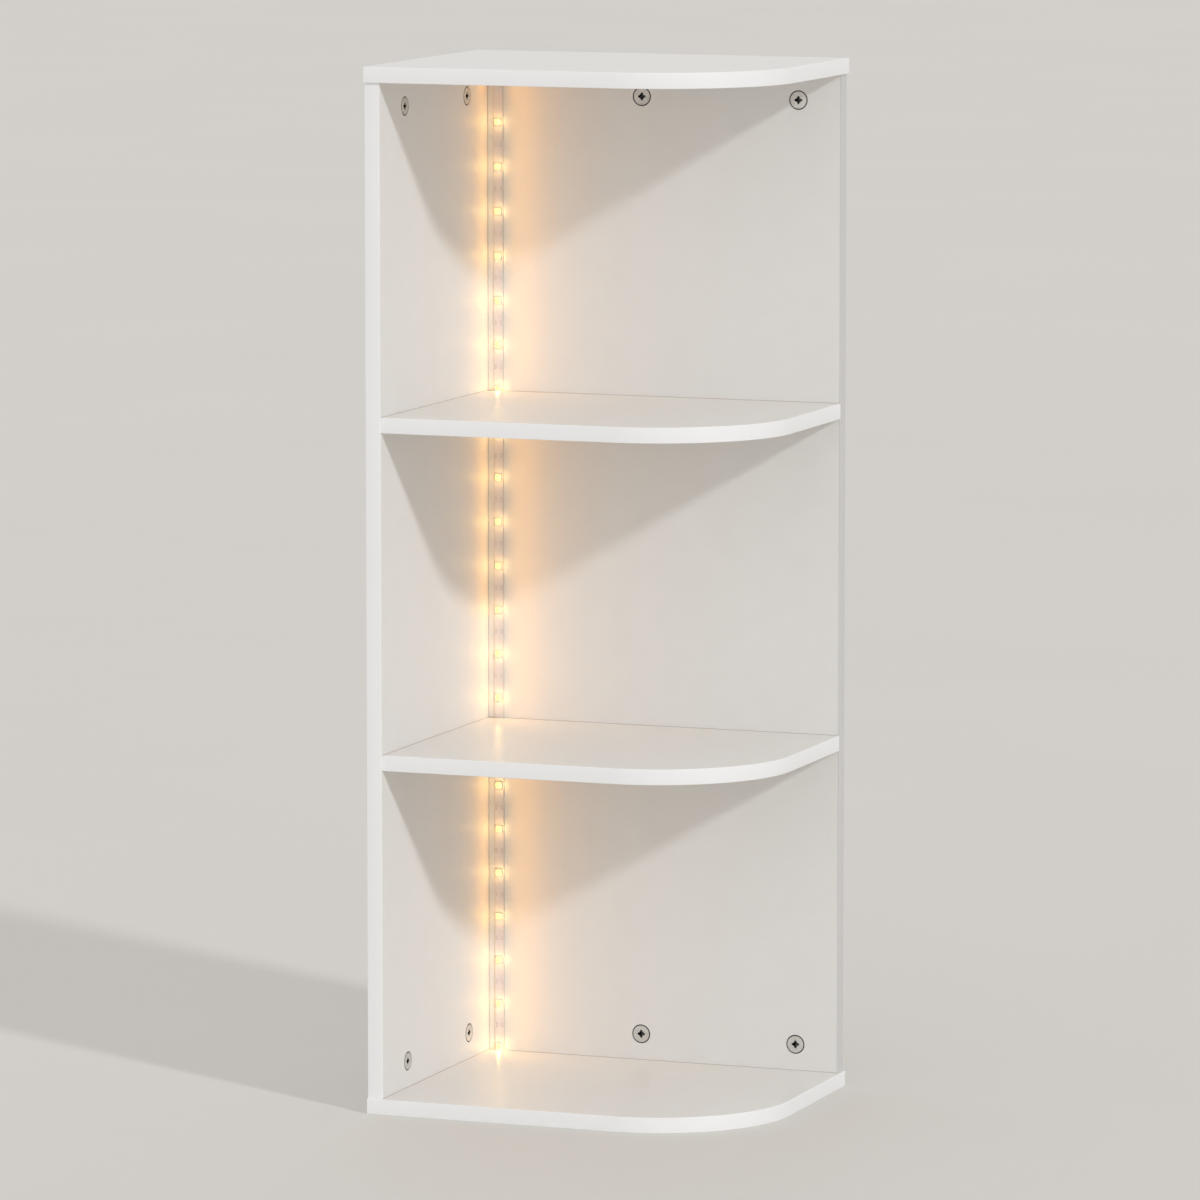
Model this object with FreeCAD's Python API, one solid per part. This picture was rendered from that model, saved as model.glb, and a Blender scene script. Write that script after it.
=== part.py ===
# Corner shelf: two upright panels and four boards that meet in a right angle,
# held by cam locks, bolts, dowels and screws, with a lit strip in the inner corner.
# Lengths are in millimetres. X runs to the right, Y to the back, Z up.
# The origin is the middle of the footprint, on the surface that the shelf stands on.
import FreeCAD, Part
import math
import os

os.makedirs("parts", exist_ok=True)
V = FreeCAD.Vector

# Boards and panels
height = 800.0
width = 305.0
depth = 237.0
board_thickness = 12.0
panel_thickness = 12.0
corner_radius = 106.0
front_overhang = 2.0
end_overhang = 2.0
shelf_setback = 2.0
upper_bay_height = 253.0
lower_bay_height = 253.0
band_thickness = 1.0
band_chamfer = 0.3
cut_overrun = 1.0

# Cam locks and the bolts that they grip
cam_radius = 7.45
cam_running_clearance = 0.05
cam_depth = 9.7
cam_floor_clearance = 0.3
cam_face_thickness = 2.2
cam_cavity_radius = 5.0
cam_rim_chamfer = 0.6
cam_setback = 20.5
left_front_cam_margin = 52.0
left_rear_cam_margin = 43.0
right_outer_cam_margin = 35.0
right_cam_spacing = 128.0
cross_reach = 3.1
cross_tip_width = 1.2
cross_waist_radius = 2.0
mark_length = 1.5
mark_width = 1.0
mark_depth = 0.4
bolt_head_radius = 3.5
bolt_head_thickness = 3.0
bolt_head_seat = 3.2
bolt_neck_radius = 2.0
neck_clearance = 0.3
head_clearance = 0.25
bolt_shaft_radius = 3.0
shaft_to_cam_clearance = 0.8
bolt_collar_radius = 3.7
bolt_collar_length = 1.2
collar_clearance = 0.3
bolt_thread_radius = 2.5
bolt_thread_depth = 0.4
bolt_thread_pitch = 1.6
bolt_thread_length = 9.6

# Dowels and screws
seat_clearance = 0.05
hole_bottom_clearance = 0.5
dowel_radius = 3.0
dowel_length = 22.0
dowel_depth_in_board = 8.5
dowel_chamfer = 0.8
dowel_margin = 22.0
right_dowel_margin = 51.0
screw_radius = 2.0
screw_head_radius = 3.9
screw_head_height = 1.9
screw_length = 38.0
screw_point_length = 4.0
screw_thread_depth = 0.45
screw_thread_pitch = 1.8
screw_recess_reach = 2.2
screw_recess_width = 0.8
screw_recess_waist = 0.8
screw_recess_depth = 1.3
shelf_screw_margin = 55.0
corner_screw_margin = 60.0

# Lit strip
strip_corner_gap = 5.0
strip_width = 8.0
tape_thickness = 0.3
circuit_thickness = 0.3
notch_clearance = 1.0
notch_depth = 4.0
chip_side = 5.0
chip_height = 1.6
chip_count = 22
first_chip_drop = 43.0
chip_end_gap = 0.3
strip_end_gap = 0.1
lens_radius = 2.0
lens_thickness = 0.5

# Strip connector and the grommet behind it
connector_drop = 2.0
connector_length = 12.0
connector_width = 11.0
connector_height = 4.5
connector_grip = 6.0
grip_clearance = 0.2
socket_width = 3.6
socket_length = 3.0
socket_depth = 3.0
socket_drop = 3.5
pin_radius = 0.4
pin_length = 2.2
pin_pitch = 1.8
grommet_radius = 3.5
grommet_bore_radius = 2.0
grommet_flange_radius = 4.5
grommet_flange_thickness = 1.0

# Places worked out from the sizes above
left = -width / 2
right = width / 2
front = -depth / 2
back = depth / 2
panel_bottom = board_thickness
panel_top = height - board_thickness
inner_left = left + panel_thickness
inner_back = back - panel_thickness
panel_right = right - end_overhang
panel_front = front + front_overhang
shelf_front = panel_front + shelf_setback
left_front_cam = panel_front + left_front_cam_margin
left_rear_cam = inner_back - left_rear_cam_margin
right_outer_cam = panel_right - right_outer_cam_margin
right_inner_cam = right_outer_cam - right_cam_spacing
upper_shelf_bottom = panel_top - upper_bay_height - board_thickness
lower_shelf_bottom = panel_bottom + lower_bay_height
strip_left = inner_left + strip_corner_gap
strip_centre = strip_left + strip_width / 2
circuit_face = inner_back - tape_thickness - circuit_thickness
connector_top = panel_top - connector_drop
connector_bottom = connector_top - connector_length
strip_top = connector_bottom + connector_grip
inlet_height = connector_top - socket_drop


def save(node, *solids):
    shape = solids[0] if len(solids) == 1 else Part.makeCompound(list(solids))
    shape.exportStep("parts/" + node + ".step")


def block(x0, x1, y0, y1, z0, z1):
    return Part.makeBox(x1 - x0, y1 - y0, z1 - z0, V(x0, y0, z0))


def turned(profile):
    # Solid of revolution about Z from a closed list of (radius, z) points.
    points = [V(radius, 0, z) for radius, z in profile]
    face = Part.Face(Part.makePolygon(points + points[:1]))
    return face.revolve(V(0, 0, 0), V(0, 0, 1), 360)


def aimed(shape, x_dir, z_dir, origin):
    # Moves a shape made at the origin so that its own X and Z point the given ways.
    rotation = FreeCAD.Rotation(x_dir, z_dir.cross(x_dir), z_dir, "ZXY")
    placed = shape.copy()
    placed.Placement = FreeCAD.Placement(origin, rotation).multiply(shape.Placement)
    return placed


def star(reach, tip_width, waist_radius, z0, z1):
    # Cross recess: four tapered arms that meet at a waist.
    points = []
    for arm in range(4):
        turn = math.radians(90 * arm)
        along = V(math.cos(turn), math.sin(turn), 0)
        across = V(-math.sin(turn), math.cos(turn), 0)
        points.append(along * reach - across * (tip_width / 2))
        points.append(along * reach + across * (tip_width / 2))
        points.append((along + across).normalize() * waist_radius)
    outline = Part.makePolygon(points + points[:1])
    outline.translate(V(0, 0, z0))
    return Part.Face(outline).extrude(V(0, 0, z1 - z0))


# Boards with one round corner

def slab(x0, x1, y0, y1, radius, z0, z1):
    # Flat board, square at three corners and round at the front right one.
    bend = V(x1 - radius, y0 + radius, z0)
    diagonal = radius * math.sqrt(0.5)
    corners = [V(x1, y0 + radius, z0), V(x1, y1, z0), V(x0, y1, z0), V(x0, y0, z0)]
    corners.append(V(x1 - radius, y0, z0))
    edges = [Part.LineSegment(a, b).toShape() for a, b in zip(corners, corners[1:])]
    bend_middle = bend + V(diagonal, -diagonal, 0)
    edges.append(Part.Arc(corners[-1], bend_middle, corners[0]).toShape())
    return Part.Face(Part.Wire(edges)).extrude(V(0, 0, z1 - z0))


def front_band(x0, x1, y0, y1, radius, z0, z1):
    # Band along the front edge, round the corner and along the right edge.
    whole = slab(x0, x1, y0, y1, radius, z0, z1)
    rim = []
    for edge in whole.Edges:
        box = edge.BoundBox
        level = box.ZLength < band_chamfer
        on_wall_side = box.XMax < x0 + band_chamfer or box.YMin > y1 - band_chamfer
        if level and not on_wall_side:
            rim.append(edge)
    whole = whole.makeChamfer(band_chamfer, rim)
    inside = slab(x0 - cut_overrun, x1 - band_thickness, y0 + band_thickness, y1 + cut_overrun,
                  radius - band_thickness, z0 - cut_overrun, z1 + cut_overrun)
    return whole.cut(inside)


def end_board(z0):
    # Core of the top or bottom board, banded on all four sides.
    return slab(left + band_thickness, right - band_thickness,
                front + band_thickness, back - band_thickness,
                corner_radius - band_thickness, z0, z0 + board_thickness)


def end_board_bands(node, z0):
    z1 = z0 + board_thickness
    save(node + "_front_band", front_band(left, right, front, back, corner_radius, z0, z1))
    side = block(left, left + band_thickness, front + band_thickness, back, z0, z1)
    rear = block(left + band_thickness, right - band_thickness, back - band_thickness, back, z0, z1)
    save(node + "_wall_bands", side, rear)


def shelf(z0):
    # Core of a middle shelf, with the notch that lets the lit strip pass.
    z1 = z0 + board_thickness
    core = slab(inner_left, panel_right - band_thickness, shelf_front + band_thickness,
                inner_back, corner_radius - band_thickness, z0, z1)
    notch = block(inner_left - cut_overrun, strip_left + strip_width + notch_clearance,
                  inner_back - notch_depth, inner_back + cut_overrun,
                  z0 - cut_overrun, z1 + cut_overrun)
    return core.cut(notch)


# Cam locks and bolts, made about the cam's axis: Z out of the panel face, X to the panel end

def cam_lock():
    inner_face = -cam_depth
    middle = -panel_thickness / 2
    chamfered = cam_radius - cam_rim_chamfer
    lock = turned([(0, inner_face), (cam_radius, inner_face), (cam_radius, -cam_rim_chamfer),
                   (chamfered, 0), (0, 0)])
    cavity = Part.makeCylinder(cam_cavity_radius, cam_depth, V(0, 0, inner_face - cam_face_thickness))
    slot_half = bolt_neck_radius + neck_clearance
    reach = cam_radius + cut_overrun
    sweep = Part.makeCylinder(reach, slot_half + slot_half, V(0, 0, middle - slot_half),
                              V(0, 0, 1), 180)
    sweep.rotate(V(0, 0, 0), V(0, 0, 1), 180)
    locked_end = Part.makeCylinder(slot_half, reach, V(0, 0, middle), V(1, 0, 0))
    entry = Part.makeCylinder(bolt_head_radius + head_clearance, reach, V(0, 0, middle), V(-1, 0, 0))
    cross = star(cross_reach, cross_tip_width, cross_waist_radius,
                 -cam_face_thickness - cut_overrun, cut_overrun)
    tip = cam_radius - cam_rim_chamfer
    mark_points = [V(-tip, 0, -mark_depth), V(mark_length - tip, mark_width / 2, -mark_depth),
                   V(mark_length - tip, -mark_width / 2, -mark_depth)]
    mark = Part.Face(Part.makePolygon(mark_points + mark_points[:1])).extrude(V(0, 0, mark_depth * 2))
    return lock.cut([cavity, sweep, locked_end, entry, cross, mark])


def threads(inner, outer, start, end, pitch):
    # Saw-tooth edge of a thread, from start to end along the axis.
    count = max(1, round(abs(end - start) / pitch))
    step = (end - start) / count
    points = []
    for turn in range(count):
        points.append((inner, start + step * turn))
        points.append((outer, start + step * (turn + 0.5)))
    points.append((inner, end))
    return points


def cam_bolt():
    # Turned about Z with the head at the bottom, then laid along the cam's X.
    shaft_start = cam_radius + shaft_to_cam_clearance
    collar_start = cam_setback - bolt_collar_length
    head_end = bolt_head_seat - bolt_head_thickness
    thread_root = bolt_thread_radius - bolt_thread_depth
    thread = threads(thread_root, bolt_thread_radius, cam_setback,
                     cam_setback + bolt_thread_length, bolt_thread_pitch)
    profile = [(0, head_end), (bolt_head_radius, head_end), (bolt_head_radius, bolt_head_seat),
               (bolt_neck_radius, bolt_head_seat), (bolt_neck_radius, shaft_start),
               (bolt_shaft_radius, shaft_start), (bolt_shaft_radius, collar_start),
               (bolt_collar_radius, collar_start), (bolt_collar_radius, cam_setback)]
    profile = profile + thread + [(0, cam_setback + bolt_thread_length)]
    return aimed(turned(profile), V(0, 0, -1), V(1, 0, 0), V(0, 0, -panel_thickness / 2))


def cam_bore():
    # What the cam and the bolt's shaft need cut out of a panel.
    bore = Part.makeCylinder(cam_radius + cam_running_clearance,
                             cam_depth + cam_floor_clearance + cut_overrun,
                             V(0, 0, -cam_depth - cam_floor_clearance))
    shaft_hole = Part.makeCylinder(bolt_collar_radius + collar_clearance,
                                   cam_setback + cut_overrun,
                                   V(0, 0, -panel_thickness / 2), V(1, 0, 0))
    return bore.fuse(shaft_hole)


def bolt_hole():
    # What the bolt's thread needs cut out of a board.
    length = bolt_thread_length + hole_bottom_clearance
    return Part.makeCylinder(bolt_thread_radius + seat_clearance, length + cut_overrun,
                             V(cam_setback - cut_overrun, 0, -panel_thickness / 2), V(1, 0, 0))


def cam_places():
    # Name, panel, board, X direction, Z direction and centre of each cam lock.
    places = []
    for end, out, level in (("top", V(0, 0, 1), panel_top - cam_setback),
                            ("bottom", V(0, 0, -1), panel_bottom + cam_setback)):
        for name, y in (("front", left_front_cam), ("rear", left_rear_cam)):
            places.append(("cam_left_" + end + "_" + name, "left", end, out, V(1, 0, 0),
                           V(inner_left, y, level)))
        for name, x in (("outer", right_outer_cam), ("inner", right_inner_cam)):
            places.append(("cam_right_" + end + "_" + name, "right", end, out, V(0, -1, 0),
                           V(x, inner_back, level)))
    return places


# Dowels and screws

def dowel_body(radius, z0, z1, chamfer):
    return turned([(0, z0), (radius - chamfer, z0), (radius, z0 + chamfer),
                   (radius, z1 - chamfer), (radius - chamfer, z1), (0, z1)])


def dowel_places():
    left_middle = left + panel_thickness / 2
    right_middle = back - panel_thickness / 2
    return [("left", left_middle, panel_front + dowel_margin),
            ("left", left_middle, (left_front_cam + left_rear_cam) / 2),
            ("right", (right_outer_cam + right_inner_cam) / 2, right_middle),
            ("right", inner_left + right_dowel_margin, right_middle)]


def dowel_ends(end):
    # Lowest and highest point of the dowels at one end of the panels.
    if end == "top":
        high = panel_top + dowel_depth_in_board
        return high - dowel_length, high
    low = panel_bottom - dowel_depth_in_board
    return low, low + dowel_length


def dowel_hole(end, x, y):
    low, high = dowel_ends(end)
    hole = Part.makeCylinder(dowel_radius + seat_clearance,
                             high - low + hole_bottom_clearance * 2,
                             V(x, y, low - hole_bottom_clearance))
    return hole


def screw():
    # Countersunk screw along -Z, its head flush with Z = 0.
    root = screw_radius - screw_thread_depth
    thread = threads(root, screw_radius, -screw_head_height - screw_thread_pitch,
                     screw_point_length - screw_length, screw_thread_pitch)
    body = turned([(0, 0), (screw_head_radius, 0), (root, -screw_head_height)]
                  + thread + [(0, -screw_length)])
    recess = star(screw_recess_reach, screw_recess_width, screw_recess_waist,
                  -screw_recess_depth, cut_overrun)
    return body.cut(recess)


def screw_hole():
    countersink_radius = screw_head_radius + seat_clearance
    shank_radius = screw_radius + seat_clearance
    return turned([(0, cut_overrun), (countersink_radius, cut_overrun), (countersink_radius, 0),
                   (shank_radius, seat_clearance - screw_head_height),
                   (shank_radius, -screw_length - hole_bottom_clearance),
                   (0, -screw_length - hole_bottom_clearance)])


def shelf_screw_places(z0):
    # Outward direction and head centre of the four screws that carry a middle shelf.
    z = z0 + board_thickness / 2
    places = []
    for x in (inner_left + shelf_screw_margin, panel_right - shelf_screw_margin):
        places.append((V(0, 1, 0), V(x, back, z)))
    for y in (shelf_front + shelf_screw_margin, inner_back - shelf_screw_margin):
        places.append((V(-1, 0, 0), V(left, y, z)))
    return places


def corner_screw_places():
    x = left + panel_thickness / 2
    heights = (panel_bottom + corner_screw_margin, height / 2, panel_top - corner_screw_margin)
    return [(V(0, 1, 0), V(x, back, z)) for z in heights]


def at_screws(shape, places):
    return [aimed(shape, V(0, 0, 1), out, centre) for out, centre in places]


# Lit strip, connector and grommet

def chip_levels():
    lowest = panel_bottom + chip_end_gap + chip_side / 2
    highest = panel_top - first_chip_drop
    pitch = (highest - lowest) / (chip_count - 1)
    return [highest - pitch * index for index in range(chip_count)]


def chip_housing(level):
    half = chip_side / 2
    body = block(strip_centre - half, strip_centre + half, circuit_face - chip_height, circuit_face,
                 level - half, level + half)
    cup = Part.makeCylinder(lens_radius + seat_clearance, lens_thickness + cut_overrun,
                            V(strip_centre, circuit_face - chip_height + lens_thickness, level),
                            V(0, -1, 0))
    return body.cut(cup)


def chip_lens(level):
    centre = V(strip_centre, circuit_face - chip_height + lens_thickness, level)
    return Part.makeCylinder(lens_radius, lens_thickness, centre, V(0, -1, 0))


def strip_layer(y0, y1):
    return block(strip_left, strip_left + strip_width, y0, y1, panel_bottom + strip_end_gap, strip_top)


def connector():
    half = connector_width / 2
    body = block(strip_centre - half, strip_centre + half, inner_back - connector_height, inner_back,
                 connector_bottom, connector_top)
    grip_half = strip_width / 2 + grip_clearance
    grip = block(strip_centre - grip_half, strip_centre + grip_half, circuit_face - grip_clearance,
                 inner_back + cut_overrun, connector_bottom - cut_overrun, strip_top + grip_clearance)
    socket = block(strip_centre - socket_width / 2, strip_centre + socket_width / 2,
                   inner_back - socket_depth, inner_back + cut_overrun,
                   inlet_height - socket_length / 2, inlet_height + socket_length / 2)
    return body.cut([grip, socket])


def inlet_pins():
    start = inner_back - socket_depth
    places = (strip_centre - pin_pitch / 2, strip_centre + pin_pitch / 2)
    return [Part.makeCylinder(pin_radius, pin_length, V(x, start, inlet_height), V(0, 1, 0))
            for x in places]


def grommet_profile(radius, flange_radius, flange_thickness, bore):
    # Turned about Z, which points out of the panel's outer face.
    return [(bore, -panel_thickness), (radius, -panel_thickness), (radius, -flange_thickness),
            (flange_radius, -flange_thickness), (flange_radius, 0), (bore, 0)]


def grommet():
    ring = turned(grommet_profile(grommet_radius, grommet_flange_radius,
                                  grommet_flange_thickness, grommet_bore_radius))
    return aimed(ring, V(0, 0, 1), V(0, 1, 0), V(strip_centre, back, inlet_height))


def grommet_hole():
    neck = Part.makeCylinder(grommet_radius + seat_clearance, panel_thickness + cut_overrun * 2,
                             V(strip_centre, inner_back - cut_overrun, inlet_height), V(0, 1, 0))
    sink = Part.makeCylinder(grommet_flange_radius + seat_clearance,
                             grommet_flange_thickness + cut_overrun,
                             V(strip_centre, back - grommet_flange_thickness, inlet_height),
                             V(0, 1, 0))
    return neck.fuse(sink)


# Holes that the fasteners need in each board and panel
board_cuts = {"top": [], "bottom": []}
panel_cuts = {"left": [], "right": []}
bolts = {"top": [], "bottom": []}
dowels = {"top": [], "bottom": []}
for name, panel, end, x_dir, z_dir, centre in cam_places():
    save(name, aimed(cam_lock(), x_dir, z_dir, centre))
    bolts[end].append(aimed(cam_bolt(), x_dir, z_dir, centre))
    panel_cuts[panel].append(aimed(cam_bore(), x_dir, z_dir, centre))
    board_cuts[end].append(aimed(bolt_hole(), x_dir, z_dir, centre))
for end in ("top", "bottom"):
    for panel, x, y in dowel_places():
        low, high = dowel_ends(end)
        dowel = dowel_body(dowel_radius, low, high, dowel_chamfer)
        dowel.translate(V(x, y, 0))
        dowels[end].append(dowel)
        hole = dowel_hole(end, x, y)
        board_cuts[end].append(hole)
        panel_cuts[panel].append(hole)
shelf_screws = {"upper_shelf": shelf_screw_places(upper_shelf_bottom),
                "lower_shelf": shelf_screw_places(lower_shelf_bottom)}
shelf_cuts = {}
for node, places in shelf_screws.items():
    shelf_cuts[node] = at_screws(screw_hole(), places)
    panel_cuts["left"] = panel_cuts["left"] + shelf_cuts[node]
    panel_cuts["right"] = panel_cuts["right"] + shelf_cuts[node]
    save(node + "_screws", *at_screws(screw(), places))
corner_cuts = at_screws(screw_hole(), corner_screw_places())
panel_cuts["left"] = panel_cuts["left"] + corner_cuts
panel_cuts["right"] = panel_cuts["right"] + corner_cuts + [grommet_hole()]
save("corner_screws", *at_screws(screw(), corner_screw_places()))

# Boards with their bands
for node, end, z0 in (("top_board", "top", panel_top), ("bottom_board", "bottom", 0)):
    save(node, end_board(z0).cut(board_cuts[end]))
    end_board_bands(node, z0)
    save(end + "_cam_bolts", *bolts[end])
    save(end + "_dowels", *dowels[end])
for node, z0 in (("upper_shelf", upper_shelf_bottom), ("lower_shelf", lower_shelf_bottom)):
    save(node, shelf(z0).cut(shelf_cuts[node]))
    save(node + "_front_band", front_band(inner_left, panel_right, shelf_front, inner_back,
                                          corner_radius, z0, z0 + board_thickness))

# Upright panels with their bands
left_core = block(left, inner_left, panel_front + band_thickness, inner_back, panel_bottom, panel_top)
save("left_panel", left_core.cut(panel_cuts["left"]))
save("left_panel_front_band", block(left, inner_left, panel_front, panel_front + band_thickness,
                                    panel_bottom, panel_top))
right_core = block(left + band_thickness, panel_right - band_thickness, inner_back, back,
                   panel_bottom, panel_top)
save("right_panel", right_core.cut(panel_cuts["right"]))
save("right_panel_end_band", block(panel_right - band_thickness, panel_right, inner_back, back,
                                   panel_bottom, panel_top))
save("right_panel_wall_band", block(left, left + band_thickness, inner_back, back,
                                    panel_bottom, panel_top))

# Lit strip and its supply
save("strip_tape", strip_layer(inner_back - tape_thickness, inner_back))
save("strip_circuit", strip_layer(circuit_face, inner_back - tape_thickness))
save("chip_housings", *[chip_housing(level) for level in chip_levels()])
save("chip_lenses", *[chip_lens(level) for level in chip_levels()])
save("strip_connector", connector())
save("inlet_pins", *inlet_pins())
save("supply_grommet", grommet())
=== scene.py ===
"""Lit corner shelf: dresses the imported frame, and sets a plain stage round it.

The frame gets edge bands, light chips, solder pads and finishes. Everything is in metres in the
frame's own axes: X right, Y back, Z up.
"""
import math

import bmesh
import bpy
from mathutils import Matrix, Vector


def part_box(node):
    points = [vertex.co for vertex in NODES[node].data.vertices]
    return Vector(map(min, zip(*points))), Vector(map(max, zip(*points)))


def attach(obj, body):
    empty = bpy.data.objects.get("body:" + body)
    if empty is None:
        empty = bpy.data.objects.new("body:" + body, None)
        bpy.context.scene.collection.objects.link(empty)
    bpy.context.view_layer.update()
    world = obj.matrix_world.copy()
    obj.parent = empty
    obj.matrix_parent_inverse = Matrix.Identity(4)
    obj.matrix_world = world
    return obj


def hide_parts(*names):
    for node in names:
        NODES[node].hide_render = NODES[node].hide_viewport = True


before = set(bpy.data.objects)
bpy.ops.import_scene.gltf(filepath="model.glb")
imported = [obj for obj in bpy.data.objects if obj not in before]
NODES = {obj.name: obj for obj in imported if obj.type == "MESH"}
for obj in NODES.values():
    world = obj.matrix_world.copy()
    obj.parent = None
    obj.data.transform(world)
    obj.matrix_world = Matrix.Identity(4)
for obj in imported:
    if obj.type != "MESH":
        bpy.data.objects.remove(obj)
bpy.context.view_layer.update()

bl_info = {
    "name": "Lit corner shelf",
    "version": (1, 0, 0),
    "blender": (4, 5, 0),
    "location": "3D View > Sidebar > Corner shelf",
    "description": "Dresses a corner shelf with edge bands, light chips, fittings and finishes",
    "category": "Object",
}

MM = 0.001
RIGHT, FRONT, BACK, UP = map(Vector, ((1, 0, 0), (0, -1, 0), (0, 1, 0), (0, 0, 1)))
CARCASS = "carcass"

# Edges that turn by more than this stay crisp
SHARP_ANGLE = math.radians(32)

# Cells per metre of each surface's emboss, grain or bubbles
GRAIN = {"board": 1500.0, "band": 1200.0, "film": 1200.0, "cast": 900.0, "rolled": 1500.0,
         "small part": 2500.0, "rubber": 1800.0, "wood ring": 900.0, "wood fleck": 2500.0,
         "foam": 3000.0, "floor": 60.0}

# How a surface's emboss is drawn out: the same all ways, along a level band, up an upright one
EVEN, LEVEL, UPRIGHT = (1, 1, 1), (0.15, 0.15, 1), (1, 1, 0.15)


# Sizes and colours that a user would change

def length(name, default, description):
    return bpy.props.FloatProperty(name=name, description=description, default=default,
                                   min=0.0, precision=5, unit="LENGTH")


def lengths(name, default, description):
    return bpy.props.FloatVectorProperty(name=name, description=description, default=default,
                                         size=len(default), unit="LENGTH")


def share(name, default, description):
    return bpy.props.FloatProperty(name=name, description=description, default=default,
                                   min=0.0, max=1.0, subtype="FACTOR")


def tint(name, default, description):
    return bpy.props.FloatVectorProperty(name=name, description=description, default=default,
                                         size=3, min=0.0, max=1.0, subtype="COLOR")


def power(name, default, description):
    return bpy.props.FloatProperty(name=name, description=description, default=default,
                                   min=0.0, precision=5, unit="POWER")


def strength(name, default, description):
    return bpy.props.FloatProperty(name=name, description=description, default=default, min=0.0)


def angle(name, default, description):
    return bpy.props.FloatProperty(name=name, description=description, default=default,
                                   subtype="ANGLE")


def direction(name, default, description):
    return bpy.props.FloatVectorProperty(name=name, description=description, default=default,
                                         size=3, subtype="DIRECTION")


class ShelfSizes(bpy.types.PropertyGroup):
    """Sizes of the detail that is added to the frame"""
    corner_radius: length("Corner radius", 106 * MM, "Radius of each board's round front corner")
    arris_radius: length("Arris radius", 0.4 * MM, "Rounding of the edge bands' long edges")
    chip_count: bpy.props.IntProperty(name="Chips", default=22, min=2,
                                      description="Number of light chips on the strip")
    chip_chamfer: length("Chip chamfer", 0.2 * MM, "Slope round the top of a chip's housing")
    cup_slope: length("Cup slope", 0.15 * MM, "How much wider a chip's cup is at the top")
    lens_crown: length("Lens crown", 0.14 * MM, "Height of a lens's middle above its rim")
    lead_width: length("Lead width", 0.9 * MM, "Width of one metal leg of a chip")
    lead_pitch: length("Lead pitch", 1.6 * MM, "Distance between two legs on the same side")
    pad_width: length("Pad width", 1.9 * MM, "Width of a solder pad, across the strip")
    pad_height: length("Pad height", 1.5 * MM, "Height of a solder pad, along the strip")
    pad_offset: length("Pad offset", 2.2 * MM, "Distance of a pad from the strip's middle line")
    pad_crown: length("Pad crown", 0.12 * MM, "How far the solder stands up on a pad")
    track_offset: length("Track offset", 3.75 * MM,
                         "Distance of a copper track from the strip's middle line")
    track_width: length("Track width", 0.45 * MM, "Width of a copper track under the film")
    cut_width: length("Cut width", 0.12 * MM, "Reach of the cut mark between two chips")
    # The joint line and joint reach size the painted shade where two boards meet
    joint_line: length("Joint line", 0.5 * MM, "Width of the shade where two boards meet")
    joint_reach: length("Joint reach", 1.0 * MM, "How deep that shade goes into a board")
    # The cam rim width sizes a dark ring that is painted shade for the gap round a cam's face
    rim_shade_width: length("Cam rim width", 0.85 * MM, "Width of the dark rim round a cam's face")


class ShelfFinish(bpy.types.PropertyGroup):
    """Colours and roughness of the shelf's finishes"""
    board_white: tint("Board white", (0.81, 0.805, 0.79), "Colour of the coated boards")
    band_white: tint("Band white", (0.91, 0.915, 0.92), "Colour of the edge bands")
    # The end band's colour is the band white darkened as painted shade, so the right panel's end
    # band looks shaded
    end_band_painted_shade: tint("End white", (0.64, 0.637, 0.63), "Colour of the right panel's end band")
    # Joint shade is painted shade: a darker line where boards meet and down the inner corner, in
    # place of contact shadow
    joint_painted_shade: tint("Joint shade", (0.56, 0.51, 0.46), "Colour of the line where boards meet")
    board_roughness: share("Board roughness", 0.32, "Roughness of the level boards")
    panel_roughness: share("Panel roughness", 0.50, "Roughness of the upright panels")
    band_roughness: share("Band roughness", 0.36, "Roughness of the edge bands")
    zinc: tint("Zinc", (0.78, 0.77, 0.74), "Colour of the cast cam locks")
    # This near-black is painted shade: the ring round a cam's face and its darkened recesses
    rim_gap_painted_shade: tint("Zinc rim", (0.02, 0.018, 0.016), "Colour of the dark rim of a cam lock")
    steel: tint("Plated steel", (0.66, 0.66, 0.64), "Colour of screws and chip legs")
    oiled_steel: tint("Oiled steel", (0.16, 0.155, 0.15), "Colour of the cam bolts")
    beech: tint("Beech", (0.62, 0.42, 0.24), "Main colour of the dowels")
    beech_dark: tint("Dark beech", (0.42, 0.25, 0.12), "Colour of the dowels' growth rings")
    circuit_white: tint("Circuit white", (0.78, 0.73, 0.74), "Colour of the strip's top film")
    circuit_shade: tint("Circuit shade", (0.66, 0.59, 0.52), "Colour over the copper tracks")
    tape: tint("Foam tape", (0.62, 0.62, 0.60), "Colour of the foam under the strip")
    chip_white: tint("Chip white", (0.80, 0.76, 0.60), "Colour of the chips' housings")
    connector_white: tint("Connector white", (0.76, 0.76, 0.74), "Colour of the connector")
    brass: tint("Brass", (0.80, 0.60, 0.28), "Colour of the inlet pins")
    rubber: tint("Rubber", (0.55, 0.55, 0.54), "Colour of the supply grommet")
    lens_middle: tint("Lens middle", (1.0, 0.95, 0.42), "Light of the middle of a lens")
    lens_rim: tint("Lens rim", (1.0, 0.76, 0.24), "Light of the rim of a lens")
    lens_body: tint("Lens body", (0.25, 0.22, 0.18), "Share of that light in a lens's own colour")
    # Housing glow is partly light that the lens spreads into the housing, partly a painted halo
    # round each chip
    housing_glow: share("Housing glow", 0.40, "How strongly a chip's housing is lit from within")


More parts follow.
